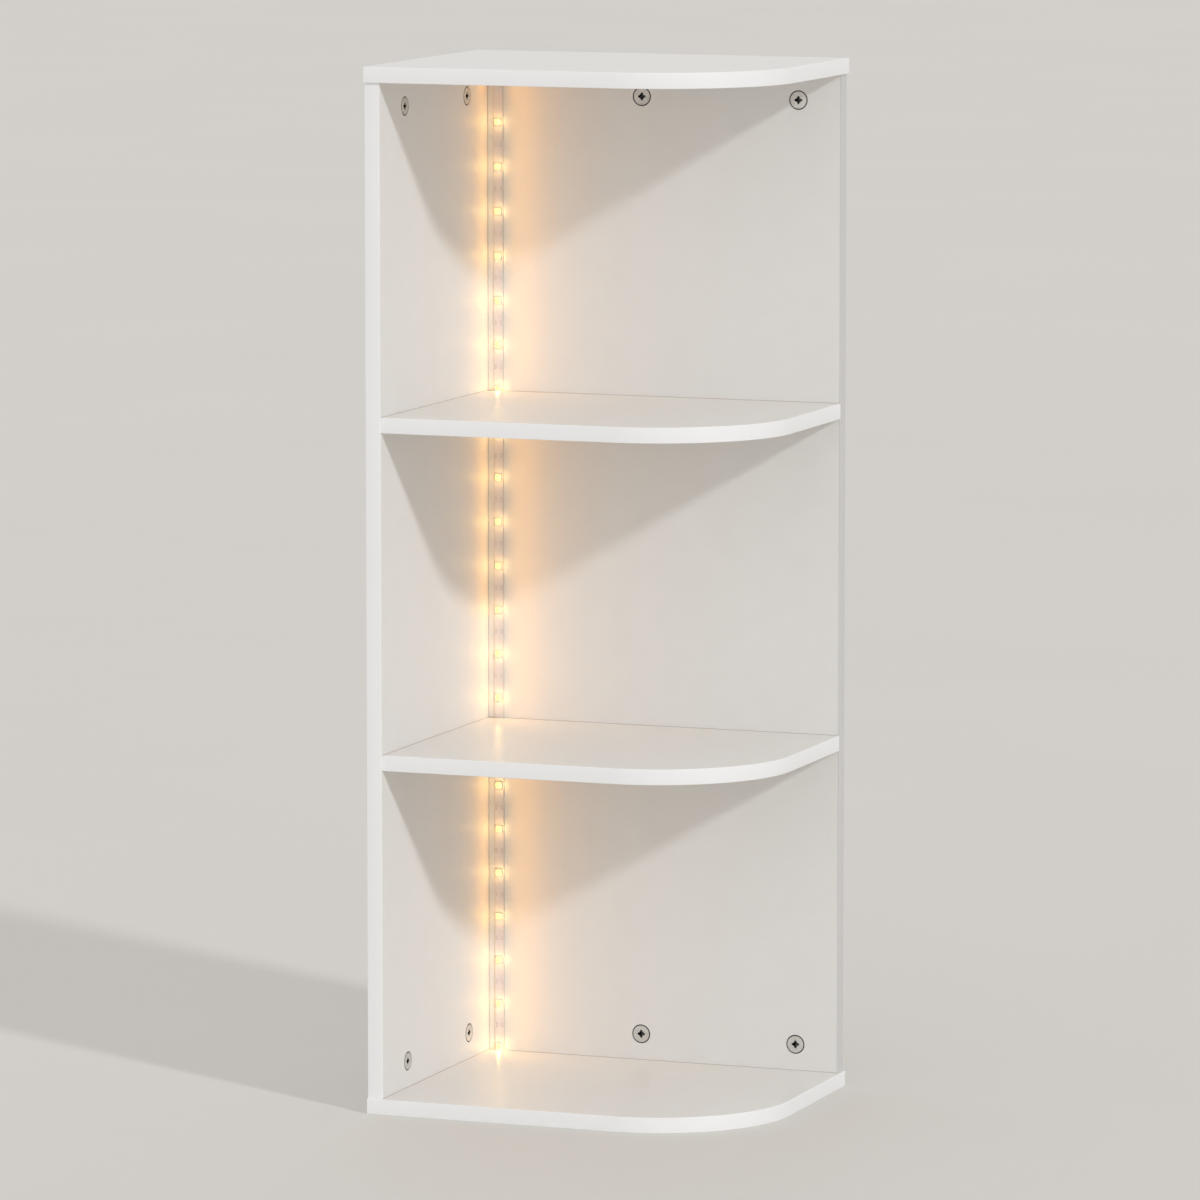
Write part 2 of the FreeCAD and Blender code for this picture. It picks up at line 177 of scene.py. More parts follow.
class ShelfStage(bpy.types.PropertyGroup):
    """Floor, lamps and camera"""
    floor: tint("Floor", (0.72, 0.70, 0.67), "Colour of the plain floor")
    floor_reach: length("Floor reach", 60.0, "Distance from the shelf to the floor's far edge")
    sky: tint("Surround", (0.775, 0.764, 0.748), "Soft light from all round")
    side_sky: tint("Side surround", (0.475, 0.445, 0.42), "Soft light from the right side")
    key_direction: direction("Key direction", (-1.33, 0.72, -0.76),
                             "Way in which the main light travels")
    key_strength: strength("Key strength", 1.14, "Strength of the main light")
    key_angle: angle("Key softness", math.radians(4), "Apparent size of the main light")
    key_tint: tint("Key tint", (0.96, 0.98, 1.0), "Colour of the main and the front light")
    fill_direction: direction("Fill direction", (-0.15, 1.0, -0.2),
                              "Way in which the soft front light travels")
    fill_strength: strength("Fill strength", 0.15, "Strength of the soft front light")
    fill_angle: angle("Fill softness", math.radians(70), "Apparent size of the front light")
    chip_glow: tint("Chip glow", (1.0, 0.63, 0.21), "Colour of the light close to each chip")
    bay_glow: tint("Bay glow", (1.0, 0.40, 0.0), "Colour of the light that spreads in a bay")
    lamp_radius: length("Lamp radius", 1.5 * MM, "Radius of the small lamps on the strip")
    chip_power: power("Chip power", 0.0024, "Power of the lamp at each chip")
    chip_lamp: lengths("Chip lamp", (1.0 * MM, 3.0 * MM),
                       "Distance of each lamp to the right of its lens and in front of it")
    top_power: power("Top lamp power", 0.003, "Power of the lamp at the strip's top end")
    top_lamp: lengths("Top lamp", (10 * MM, 9 * MM, 4 * MM), "Distance of that lamp from the "
                      "left panel, the right panel and the top board")
    wash_width: length("Wash width", 5 * MM, "Width of the long lamps that wash the panels")
    wash_share: share("Wash share", 0.94, "Share of a bay's height that a long lamp fills")
    rear_power: power("Rear wash power", 0.0284, "Power of the long lamp along the right panel")
    rear_wash: lengths("Rear wash", (17 * MM, 20 * MM),
                       "Distance of that lamp from the left panel and from the right panel")
    rear_turn: angle("Rear wash turn", math.radians(85),
                     "Turn of that lamp from the right panel to the front")
    left_power: power("Left wash power", 0.0175, "Power of the long lamp along the left panel")
    left_wash: lengths("Left wash", (16 * MM, 3 * MM),
                       "Distance of that lamp from the left panel and from the right panel")
    left_turn: angle("Left wash turn", math.radians(70),
                     "Turn of that lamp from the left panel to the front")
    camera_place: lengths("Camera place", (2.09778, -5.59, 1.15288), "Place of the camera")
    camera_turn: angle("Camera turn", 0.36009, "Turn of the camera about Z")
    camera_tilt: angle("Camera tilt", 0.12729, "Tilt of the camera below level")
    lens: bpy.props.FloatProperty(name="Lens", default=235.99, min=1.0, unit="CAMERA",
                                  description="Focal length in millimetres on a 36 mm frame")


# Meshes

def place_in_scene(made):
    bpy.context.scene.collection.objects.link(made)


def piece(name, mesh, look, stands_for=()):
    """Closes a bmesh into a named object with a slot and a look, which rides on the carcass"""
    bmesh.ops.recalc_face_normals(mesh, faces=mesh.faces)
    data = bpy.data.meshes.new(name)
    mesh.to_mesh(data)
    mesh.free()
    data.shade_smooth()
    data.set_sharp_from_angle(angle=SHARP_ANGLE)
    data.materials.append(look.material)
    made = bpy.data.objects.new(name, data)
    place_in_scene(made)
    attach(made, CARCASS)
    if stands_for:
        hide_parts(*stands_for)


def paint(look, *names):
    """Gives nodes of the frame a look"""
    for name in names:
        data = NODES[name].data
        data.materials.clear()
        data.materials.append(look.material)


def turns(steps):
    """Even angles once round"""
    return [math.tau * step / steps for step in range(steps)]


def loft(mesh, rings):
    """Joins closed rings of points, one after the other, and caps the two ends"""
    made = [[mesh.verts.new(point) for point in ring] for ring in rings]
    for low, high in zip(made, made[1:]):
        for index in range(len(low)):
            after = (index + 1) % len(low)
            mesh.faces.new((low[index], low[after], high[after], high[index]))
    mesh.faces.new(reversed(made[0]))
    mesh.faces.new(made[-1])


def band_profile(thickness, height, radius, steps=5):
    """Cross-section of an edge band: distance out of the board, and along its thickness"""
    points = [(0.0, 0.0)]
    for centre, first in ((radius, -90), (height - radius, 0)):
        for step in range(steps + 1):
            turn = math.radians(first + 90 * step / steps)
            points.append((thickness - radius + radius * math.cos(turn),
                           centre + radius * math.sin(turn)))
    points.append((0.0, height))
    return points


def sweep(mesh, profile, stations):
    """Carries a cross-section along stations of (place, way out, way along the thickness)"""
    loft(mesh, [[place + out * away + side * along for away, along in profile]
                for place, out, side in stations])


def arc_stations(low, high, radius, thickness, steps=30):
    """Inner line of a band that follows a board's front edge, round corner and right edge"""
    inner = radius - thickness
    bend = Vector((high.x - radius, low.y + radius, low.z))
    stations = [(Vector((low.x, low.y + thickness, low.z)), FRONT, UP)]
    for step in range(steps + 1):
        turn = math.radians(-90 + 90 * step / steps)
        out = Vector((math.cos(turn), math.sin(turn), 0))
        stations.append((bend + out * inner, out, UP))
    stations.append((Vector((high.x - thickness, high.y, low.z)), RIGHT, UP))
    return stations


def chip_outline(half, steps=72, corner=math.radians(35)):
    """Square outline with one cut corner, as (angle, distance) pairs"""
    cut = half * (1 + math.tan(corner))
    outline = []
    for turn in turns(steps):
        across, along = math.cos(turn), math.sin(turn)
        reach = half / max(abs(across), abs(along))
        if across > 0 and along > 0:
            reach = min(reach, cut / (across + along))
        outline.append((turn, reach))
    return outline


def pad_outline(steps=24, exponent=0.45):
    """Square outline with soft corners, as (across, along) pairs between -1 and 1"""
    return [[math.copysign(abs(part) ** exponent, part)
             for part in (math.cos(turn), math.sin(turn))] for turn in turns(steps)]


class StripPlaces:
    """Where the strip's chips and joints are, read from the frame"""

    def __init__(self, chip_count):
        low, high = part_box("chip_housings")
        self.side = high.x - low.x
        self.chip_height = high.y - low.y
        self.face = high.y
        self.centre = (low.x + high.x) / 2
        self.pitch = (high.z - low.z - self.side) / (chip_count - 1)
        self.first = low.z + self.side / 2
        self.levels = [self.first + self.pitch * index for index in range(chip_count)]
        self.joints = [(a + b) / 2 for a, b in zip(self.levels, self.levels[1:])]
        lens_low, lens_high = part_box("chip_lenses")
        self.lens_radius = (lens_high.x - lens_low.x) / 2
        self.cup_depth = lens_high.y - lens_low.y

    def at(self, level, across, along, out):
        """Point near one chip: across and along the strip, and out of its face"""
        return Vector((self.centre + across, self.face - out, level + along))

    def around(self, level, turn, reach, out):
        """Point near one chip: by angle and distance from its middle, and out of the strip"""
        return self.at(level, reach * math.cos(turn), reach * math.sin(turn), out)


# Shaders

def colour(value):
    return (*value, 1.0)


def scaled(tone, part):
    return tuple(value * part for value in tone)


class Shader:
    """Wires the nodes of one material, world or node group"""

    def __init__(self, tree):
        self.tree = tree
        self.tree.nodes.clear()

    def feed(self, socket, value):
        """Links an output to a socket, or sets its value"""
        if isinstance(value, bpy.types.NodeSocket):
            self.tree.links.new(value, socket)
        else:
            socket.default_value = value

    def add(self, kind, inputs=None, **settings):
        """New node, with inputs by name or number and its own settings"""
        node = self.tree.nodes.new("ShaderNode" + kind)
        for name, value in settings.items():
            setattr(node, name, value)
        for name, value in (inputs or {}).items():
            self.feed(node.inputs[name], value)
        return node

    def math(self, operation, *values):
        return self.add("Math", dict(enumerate(values)), operation=operation).outputs[0]

    def vector(self, operation, *values):
        return self.add("VectorMath", dict(enumerate(values)), operation=operation).outputs[0]

    def mix(self, amount, first, second, blend="MIX"):
        """Mix of two colours"""
        node = self.add("Mix", data_type="RGBA", blend_type=blend)
        for index, value in ((0, amount), (6, first), (7, second)):
            self.feed(node.inputs[index], value)
        return node.outputs[2]

    def ramp(self, value, low, high, to_low=0.0, to_high=1.0):
        """Soft step of a value from to_low, at low, to to_high, at high"""
        return self.add("MapRange", {0: value, 1: low, 2: high, 3: to_low, 4: to_high},
                        interpolation_type="SMOOTHSTEP").outputs[0]

    def split(self, place):
        """X, Y and Z of a place"""
        return self.add("SeparateXYZ", {0: place}).outputs

    def effect(self, group, **inputs):
        """Outputs of a shared node group"""
        return self.add("Group", inputs, node_tree=bpy.data.node_groups[group]).outputs


class Look(Shader):
    """Material with a Principled shader, whose even values are set on its own sockets"""

    def __init__(self, name, **values):
        self.material = bpy.data.materials.new(name)
        self.material.use_nodes = True
        super().__init__(self.material.node_tree)
        output = self.add("OutputMaterial")
        principled = self.add("BsdfPrincipled")
        self.feed(output.inputs["Surface"], principled.outputs[0])
        self.inputs = principled.inputs
        self.give(**values)
        places = self.add("TexCoord").outputs
        self.place, self.place_in_box = places["Object"], places["Generated"]

    def give(self, **values):
        """Feeds the shader's sockets by name, with _ for a space"""
        for name, value in values.items():
            self.feed(self.inputs[name.replace("_", " ")], value)

    def coat(self, grain, stretch=EVEN):
        """Emboss height and slow tone of the surface"""
        return self.effect("coating", Place=self.place, Stretch=stretch, Fineness=grain)

    def line(self, place, level, width):
        """Mask of a thin line at a level"""
        return self.effect("joint_line", Place=place, Level=level, Width=width)["Mask"]

    def repeat(self, strip, first):
        """Distances from the nearest of the strip's even places, the first of them given"""
        return self.effect("repeat", Place=self.place, First=first, Pitch=strip.pitch,
                           Centre=strip.centre)

    def toned(self, mask, tone, dull):
        """Colour that runs from a dull share of a tone to the tone itself"""
        return self.mix(mask, colour(scaled(tone, dull)), colour(tone))

    def gloss(self, coating, roughness, spread):
        """Roughness that follows the emboss, on both sides of its mean"""
        return self.ramp(coating["Height"], 0.3, 0.7, roughness - spread, roughness + spread)

    def bump(self, height, depth, strength=0.6):
        node = self.add("Bump", {"Height": height, "Distance": depth, "Strength": strength})
        return node.outputs["Normal"]


def new_group(name, inputs, outputs):
    """Empty shader node group with named sockets"""
    group = bpy.data.node_groups.new(name, "ShaderNodeTree")
    shader = Shader(group)
    kinds = {"value": "NodeSocketFloat", "vector": "NodeSocketVector"}
    for sockets, way in ((inputs, "INPUT"), (outputs, "OUTPUT")):
        for socket, kind in sockets.items():
            group.interface.new_socket(socket, in_out=way, socket_type=kinds[kind])
    source = group.nodes.new("NodeGroupInput").outputs
    target = group.nodes.new("NodeGroupOutput").inputs
    return shader, source, target


def make_coating_group(slowness=0.03):
    """Fine emboss and slow tone change of a pressed or moulded surface"""
    shader, source, target = new_group(
        "coating", {"Place": "vector", "Stretch": "vector", "Fineness": "value"},
        {"Height": "value", "Tone": "value"})
    place = shader.vector("MULTIPLY", source["Place"], source["Stretch"])
    fine = shader.add("TexNoise", {"Vector": place, "Scale": source["Fineness"], "Detail": 2.0,
                                   "Roughness": 0.6})
    slow = shader.add("TexNoise", {"Vector": place, "Detail": 3.0,
                                   "Scale": shader.math("MULTIPLY", source["Fineness"], slowness)})
    shader.feed(target["Height"], fine.outputs["Fac"])
    shader.feed(target["Tone"], shader.ramp(slow.outputs["Fac"], 0.25, 0.75))


def make_line_group():
    """Thin line on both sides of a level, which fades in the outer half of its width"""
    shader, source, target = new_group(
        "joint_line", {"Place": "value", "Level": "value", "Width": "value"}, {"Mask": "value"})
    away = shader.math("ABSOLUTE", shader.math("SUBTRACT", source["Place"], source["Level"]))
    half = shader.math("MULTIPLY", source["Width"], 0.5)
    shader.feed(target["Mask"], shader.ramp(away, half, source["Width"], 1.0, 0.0))


def make_repeat_group():
    """Distances from the nearest of a row of even places: along Z, and from its middle"""
    shader, source, target = new_group(
        "repeat", {"Place": "vector", "First": "value", "Pitch": "value", "Centre": "value"},
        {"Along": "value", "Distance": "value"})
    parts = shader.split(source["Place"])
    from_first = shader.math("SUBTRACT", parts["Z"], source["First"])
    count = shader.math("DIVIDE", from_first, source["Pitch"])
    near = shader.math("SUBTRACT", count, shader.math("ROUND", count))
    along = shader.math("MULTIPLY", near, source["Pitch"])
    across = shader.math("SUBTRACT", parts["X"], source["Centre"])
    squares = shader.math("ADD", shader.math("MULTIPLY", along, along),
                          shader.math("MULTIPLY", across, across))
    shader.feed(target["Along"], shader.math("ABSOLUTE", along))
    shader.feed(target["Distance"], shader.math("SQRT", squares))


def make_disc_group():
    """Distance from a disc's axis and depth below its face, from its place in its box"""
    shader, source, target = new_group(
        "disc", {"Place": "vector", "Face": "vector", "Axis": "vector", "Diameter": "value",
                 "Thickness": "value"}, {"Distance": "value", "Depth": "value"})
    from_face = shader.vector("SUBTRACT", source["Place"], source["Face"])
    along = shader.vector("MULTIPLY", from_face, source["Axis"])
    across = shader.vector("SUBTRACT", from_face, along)
    for part, size, socket in ((across, "Diameter", "Distance"), (along, "Thickness", "Depth")):
        reach = shader.add("VectorMath", {0: part}, operation="LENGTH").outputs["Value"]
        shader.feed(target[socket], shader.math("MULTIPLY", reach, source[size]))


def coated(name, white, roughness, grain, stretch=EVEN, emboss=0.02 * MM):
    """Coated or moulded surface, nearly even in tone and gloss"""
    look = Look(name)
    coating = look.coat(grain, stretch)
    look.give(Base_Color=look.toned(coating["Tone"], white, dull=0.985),
              Roughness=look.gloss(coating, roughness, spread=0.01),
              Normal=look.bump(coating["Height"], emboss))
    return look


def shade_joints(look, lines, inner_face, finish, sizes):
    """Draws fine lines of painted shade where boards meet, at (axis, level) places over a look, on
    an inner face alone
    """
    parts = look.split(look.place)
    masks = [look.line(parts[axis], level, sizes.joint_line) for axis, level in lines]
    mask = masks[0]
    for other in masks[1:]:
        mask = look.math("MAXIMUM", mask, other)
    if inner_face:
        axis, level = inner_face
        mask = look.math("MULTIPLY", mask, look.line(parts[axis], level, sizes.joint_reach))
    base = look.inputs["Base Color"].links[0].from_socket
    # Mixes the painted joint shade over the coat's colour
    look.give(Base_Color=look.mix(mask, base, colour(finish.joint_painted_shade)))


def metal(name, tone, roughness, grain, emboss, metallic=1.0):
    """Plated, rolled or tinned metal with uneven gloss"""
    look = Look(name, Metallic=metallic)
    coating = look.coat(grain)
    look.give(Base_Color=look.toned(coating["Tone"], tone, dull=0.82),
              Roughness=look.gloss(coating, roughness, spread=0.08),
              Normal=look.bump(coating["Height"], emboss))
    return look


# Face of a cam: blur of its rim, where a dark ring is painted shade for the gap round the cam,
# depths between which painted shade darkens a recess, and the two sides of its groove as shares of
# the radius
RIM_BLUR = 0.1 * MM
RECESS_DEPTHS = (0.25 * MM, 0.9 * MM)
GROOVE_INSIDE, GROOVE_OUTSIDE = (0.72, 0.76), (0.80, 0.84)


def cam_zinc(name, finish, sizes, face, axis, diameter, thickness):
    """Cast zinc for the cams along one axis, with painted shade in its groove, in its recesses and
    in a dark ring at its rim
    """
    look = Look(name, Metallic=0.4)
    coating = look.coat(GRAIN["cast"])
    disc = look.effect("disc", Place=look.place_in_box, Face=face, Axis=axis, Diameter=diameter,
                       Thickness=thickness)
    away, radius = disc["Distance"], diameter / 2
    rim_start = radius - sizes.rim_shade_width
    rim = look.ramp(away, rim_start - RIM_BLUR, rim_start + RIM_BLUR)
    # Painted shade: a dark ring at the rim and darkening in the deeper recesses
    dark = look.math("MAXIMUM", rim, look.ramp(disc["Depth"], *RECESS_DEPTHS))
    groove = look.math("MULTIPLY", look.ramp(away, *scaled(GROOVE_INSIDE, radius)),
                       look.ramp(away, *scaled(GROOVE_OUTSIDE, radius), 1.0, 0.0))
    dull, groove_painted_shade, groove_depth = 0.75, 0.3, 0.6
    # The groove is darkened by a share as painted shade, besides being sunk in the bump
    tone = look.mix(look.math("MULTIPLY", groove, groove_painted_shade),
                    look.toned(coating["Tone"], finish.zinc, dull),
                    colour(scaled(finish.zinc, dull)))
    height = look.math("SUBTRACT", coating["Height"],
                       look.math("MULTIPLY", groove, groove_depth))
    # The near-black mixed in here is painted shade at the rim and in the recesses
    look.give(Base_Color=look.mix(dark, tone, colour(finish.rim_gap_painted_shade)),
              Roughness=look.ramp(dark, 0.0, 1.0, to_low=0.5, to_high=0.8),
              Normal=look.bump(height, 0.12 * MM, strength=0.7))
    return look


def beech_wood(finish):
    """Turned beech with rings and short flecks along its length"""
    look = Look("beech_wood", Roughness=0.6)
    along = look.add("Mapping", {"Vector": look.place, "Scale": (1, 1, 0.12)}).outputs[0]
    rings = look.add("TexNoise", {"Vector": along, "Scale": GRAIN["wood ring"], "Detail": 4.0,
                                  "Distortion": 0.6}).outputs["Fac"]
    flecks = look.add("TexVoronoi", {"Vector": along, "Scale": GRAIN["wood fleck"]})
    fleck = look.ramp(flecks.outputs["Distance"], 0.0, 0.25, to_low=0.4, to_high=0.0)
    dark = colour(finish.beech_dark)
    base = look.mix(look.ramp(rings, 0.35, 0.7), colour(finish.beech), dark)
    look.give(Base_Color=look.mix(fleck, base, dark), Normal=look.bump(rings, 0.05 * MM))
    return look


def foam(finish):
    """Closed-cell foam with its bubbles"""
    look = Look("foam_bubbles", Roughness=0.9)
    bubbles = look.add("TexVoronoi", {"Vector": look.place, "Scale": GRAIN["foam"]})
    away = bubbles.outputs["Distance"]
    look.give(Base_Color=look.toned(look.ramp(away, 0.0, 0.6), finish.tape, dull=0.8),
              Normal=look.bump(away, 0.08 * MM, strength=1.0))
    return look


def circuit_film(finish, sizes, strip):
    """White film over copper: faint edge tracks and a cut mark between chips"""
    look = Look("circuit_film")
    coating = look.coat(GRAIN["film"])
    track_shade, cut_shade, emboss_share = 0.75, 0.45, 0.2
    from_middle = look.math("SUBTRACT", look.split(look.place)["X"], strip.centre)
    track = look.line(look.math("ABSOLUTE", from_middle), sizes.track_offset, sizes.track_width)
    cut = look.ramp(look.repeat(strip, strip.joints[0])["Along"], sizes.cut_width / 2,
                    sizes.cut_width, to_low=cut_shade, to_high=0.0)
    shade = look.math("MAXIMUM", look.math("MULTIPLY", track, track_shade), cut)
    height = look.math("SUBTRACT", look.math("MULTIPLY", coating["Height"], emboss_share), track)
    look.give(Base_Color=look.mix(shade, colour(finish.circuit_white),
                                  colour(finish.circuit_shade)),
              Roughness=look.ramp(coating["Tone"], 0.0, 1.0, to_low=0.38, to_high=0.46),
              Normal=look.bump(height, 0.03 * MM))
    return look


def chip_housing_plastic(finish, strip):
    """White housing that glows round its lens, less so towards its corners: partly light that the
    lens spreads into it, partly a painted halo
    """
    look = Look("chip_housing_plastic", Roughness=0.4, Emission_Strength=1.0)
    coating = look.coat(GRAIN["small part"])
    away = look.repeat(strip, strip.first)["Distance"]
    # Partly real spread of light and partly a painted halo, fading from the lens out to the
    # housing's corners
    lit = look.ramp(away, strip.lens_radius, strip.side * 0.7, finish.housing_glow, 0.0)
    look.give(Base_Color=look.toned(coating["Tone"], finish.chip_white, dull=0.93),
              Emission_Color=look.mix(lit, colour((0, 0, 0)), colour(finish.lens_rim)),
              Normal=look.bump(coating["Height"], 0.01 * MM, strength=0.5))
    return look


def lens_gel(finish, strip):
    """Glowing gel, hottest in the middle"""
    look = Look("lens_gel", Roughness=0.25, Emission_Strength=1.0)
    away = look.repeat(strip, strip.first)["Distance"]
    cooler = look.ramp(away, strip.lens_radius * 0.35, strip.lens_radius)
    light = look.mix(cooler, colour(finish.lens_middle), colour(finish.lens_rim))
    look.give(Base_Color=look.mix(1.0, light, colour(finish.lens_body), blend="MULTIPLY"),
              Emission_Color=light)
    return look


class CORNER_SHELF_OT_effects(bpy.types.Operator):
    """Build the node groups that the finishes share"""
    bl_idname = "corner_shelf.effects"
    bl_label = "Shared effects"
    bl_options = {"REGISTER", "UNDO"}

    def execute(self, context):
        make_coating_group()
        make_line_group()
        make_repeat_group()
        make_disc_group()
        return {"FINISHED"}


class CORNER_SHELF_OT_boards(bpy.types.Operator):
    """Coat the boards and panels, with a fine painted shade where they meet"""
    bl_idname = "corner_shelf.boards"
    bl_label = "Boards and panels"
    bl_options = {"REGISTER", "UNDO"}

    def execute(self, context):
        sizes, finish = context.scene.shelf_sizes, context.scene.shelf_finish
        left_low, left_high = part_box("left_panel")
        right_low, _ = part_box("right_panel")
        floor_line, top_line = ("Z", left_low.z), ("Z", left_high.z)
        left_line, rear_line = ("X", left_high.x), ("Y", right_low.y)
        levels, corner = [floor_line, top_line], [left_line, rear_line]
        for shelf in ("lower_shelf", "upper_shelf"):
            low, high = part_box(shelf)
            levels += [("Z", low.z), ("Z", high.z)]
        panel, board = finish.panel_roughness, finish.board_roughness
        for name, roughness, lines, inner_face, nodes in (
                ("coated_left", panel, levels + [rear_line], left_line, ["left_panel"]),
                ("coated_right", panel, levels + [left_line], rear_line, ["right_panel"]),
                ("coated_top", board, corner, top_line, ["top_board"]),
                ("coated_bottom", board, corner, floor_line, ["bottom_board"]),
                ("coated_shelf", board, corner, None, ["upper_shelf", "lower_shelf"])):
            look = coated(name, finish.board_white, roughness, GRAIN["board"])
            shade_joints(look, lines, inner_face, finish, sizes)
            paint(look, *nodes)
        return {"FINISHED"}


class CORNER_SHELF_OT_bands(bpy.types.Operator):
    """Lay edge bands with rounded arrises on the boards and panels; the right panel's end band is
    darker as painted shade
    """
    bl_idname = "corner_shelf.bands"
    bl_label = "Edge bands"
    bl_options = {"REGISTER", "UNDO"}

    def execute(self, context):
        sizes, finish = context.scene.shelf_sizes, context.scene.shelf_finish
        level_look, upright_look, end_band_shaded_look = (
            coated(name, white, finish.band_roughness, GRAIN["band"], stretch)
            for name, white, stretch in (("band_level", finish.band_white, LEVEL),
                                         ("band_upright", finish.band_white, UPRIGHT),
                                         # The end band's darker white is painted shade
                                         ("band_end", finish.end_band_painted_shade, UPRIGHT)))
        for board in ("top_board", "bottom_board", "upper_shelf", "lower_shelf"):
            node = board + "_front_band"
            low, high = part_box(node)
            thickness = high.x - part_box(board)[1].x
            mesh = bmesh.new()
            sweep(mesh, band_profile(thickness, high.z - low.z, sizes.arris_radius),
                  arc_stations(low, high, sizes.corner_radius, thickness))
            piece(node.replace("band", "edge"), mesh, level_look, [node])
        for node, out, side, look in (
                ("left_panel_front_band", FRONT, RIGHT, upright_look),
                # This end band takes the darker white, which is painted shade
                ("right_panel_end_band", RIGHT, BACK, end_band_shaded_look)):
            low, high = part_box(node)
            start = Vector((low.x, high.y, low.z)) if out == FRONT else low
            end = start + UP * (high.z - low.z)
            thickness = abs((high - low).dot(out))
            mesh = bmesh.new()
            sweep(mesh, band_profile(thickness, (high - low).dot(side), sizes.arris_radius),
                  [(start, out, side), (end, out, side)])
            piece(node.replace("band", "edge"), mesh, look, [node])
        paint(level_look, "top_board_wall_bands", "bottom_board_wall_bands")
        paint(upright_look, "right_panel_wall_band")
        return {"FINISHED"}


# A solder pad's distance from the cut as a share of its height, and how far it sinks in
PAD_SPREAD = 0.72
PAD_SINK = 0.02 * MM


class CORNER_SHELF_OT_strip(bpy.types.Operator):
    """Finish the strip's film and foam, and lay its solder pads"""
    bl_idname = "corner_shelf.strip"
    bl_label = "Light strip"
    bl_options = {"REGISTER", "UNDO"}

    def execute(self, context):
        sizes, finish = context.scene.shelf_sizes, context.scene.shelf_finish
        strip = StripPlaces(sizes.chip_count)
        paint(circuit_film(finish, sizes, strip), "strip_circuit")
        paint(foam(finish), "strip_tape")
        mesh = bmesh.new()
        spread = sizes.pad_height * PAD_SPREAD
        for joint in strip.joints:
            for across in (-sizes.pad_offset, sizes.pad_offset):
                for along in (-spread, spread):
                    self.add_pad(mesh, strip, joint, across, along, sizes)
        solder = metal("tinned_pads", scaled(finish.circuit_white, 0.95), roughness=0.5,
                       grain=GRAIN["small part"], emboss=0.03 * MM, metallic=0.15)
        piece("strip_pads", mesh, solder)
        return {"FINISHED"}

    def add_pad(self, mesh, strip, joint, across, along, sizes):
        layers = ((1.0, -PAD_SINK), (1.0, PAD_SINK), (0.9, sizes.pad_crown * 0.7),
                  (0.6, sizes.pad_crown))
        loft(mesh, [[strip.at(joint, across + u * scale * sizes.pad_width / 2,
                              along + v * scale * sizes.pad_height / 2, rise)
                     for u, v in pad_outline()] for scale, rise in layers])


# Rings of a lens's crown as shares of its radius, and how far its rim lies under the chip's
# face as a share of the crown
LENS_RINGS = (0.85, 0.65, 0.4, 0.15)
LENS_DROP = 1.3

# Outlines of a chip's leg and its solder in millimetres: away from the chip's middle line, and
# out of the strip. The solder is wider than the leg by a share.
LEG = ((2.40, 0.62), (2.62, 0.62), (2.68, 0.02), (3.05, 0.02), (3.05, 0.18), (2.84, 0.18),
       (2.78, 0.78), (2.40, 0.78))
SOLDER = ((2.74, 0.0), (3.45, 0.0), (3.22, 0.09), (3.06, 0.20), (2.92, 0.34), (2.82, 0.56))
SOLDER_SHARE = 1.1


class CORNER_SHELF_OT_chips(bpy.types.Operator):
    """Make the light chips: housings with cups, crowned lenses and soldered legs"""
    bl_idname = "corner_shelf.chips"
    bl_label = "Light chips"
    bl_options = {"REGISTER", "UNDO"}

    def execute(self, context):
        sizes, finish = context.scene.shelf_sizes, context.scene.shelf_finish
        strip = StripPlaces(sizes.chip_count)
        housings, lenses, legs = bmesh.new(), bmesh.new(), bmesh.new()
        for level in strip.levels:
            self.add_housing(housings, strip, level, sizes)
            self.add_lens(lenses, strip, level, sizes)
            self.add_legs(legs, strip, level, sizes)
        tin = metal("tinned_legs", scaled(finish.steel, 1.2), roughness=0.4,
                    grain=GRAIN["small part"], emboss=0.02 * MM, metallic=0.4)
        piece("chip_bodies", housings, chip_housing_plastic(finish, strip),
              ["chip_housings"])
        piece("chip_gels", lenses, lens_gel(finish, strip), ["chip_lenses"])
        piece("chip_legs", legs, tin)
        return {"FINISHED"}

    def add_housing(self, mesh, strip, level, sizes):
        half, top = strip.side / 2, strip.chip_height
        outline = chip_outline(half)
        inset = (half - sizes.chip_chamfer) / half
        cup_top = strip.lens_radius + sizes.cup_slope
        rings = [[(turn, reach, 0.0) for turn, reach in outline],
                 [(turn, reach, top - sizes.chip_chamfer) for turn, reach in outline],
                 [(turn, reach * inset, top) for turn, reach in outline],
                 [(turn, cup_top, top) for turn, _ in outline],
                 [(turn, strip.lens_radius, top - strip.cup_depth) for turn, _ in outline]]
        loft(mesh, [[strip.around(level, *point) for point in ring] for ring in rings])

    def add_lens(self, mesh, strip, level, sizes, steps=36):
        rim = strip.chip_height - sizes.lens_crown * LENS_DROP
        rings = [(strip.lens_radius, strip.chip_height - strip.cup_depth),
                 (strip.lens_radius, rim)]
        rings += [(strip.lens_radius * part, rim + sizes.lens_crown * (1 - part * part))
                  for part in LENS_RINGS]
        loft(mesh, [[strip.around(level, turn, reach, out) for turn in turns(steps)]
                    for reach, out in rings])

    def add_legs(self, mesh, strip, level, sizes):
        shapes = (LEG, sizes.lead_width), (SOLDER, sizes.lead_width * SOLDER_SHARE)
        for side in (-1, 1):
            for row in (-1, 0, 1):
                middle = row * sizes.lead_pitch
                for outline, width in shapes:
                    loft(mesh, [[strip.at(level, side * away * MM, middle + end * width / 2,
                                          out * MM) for away, out in outline]
                                for end in (-1, 1)])


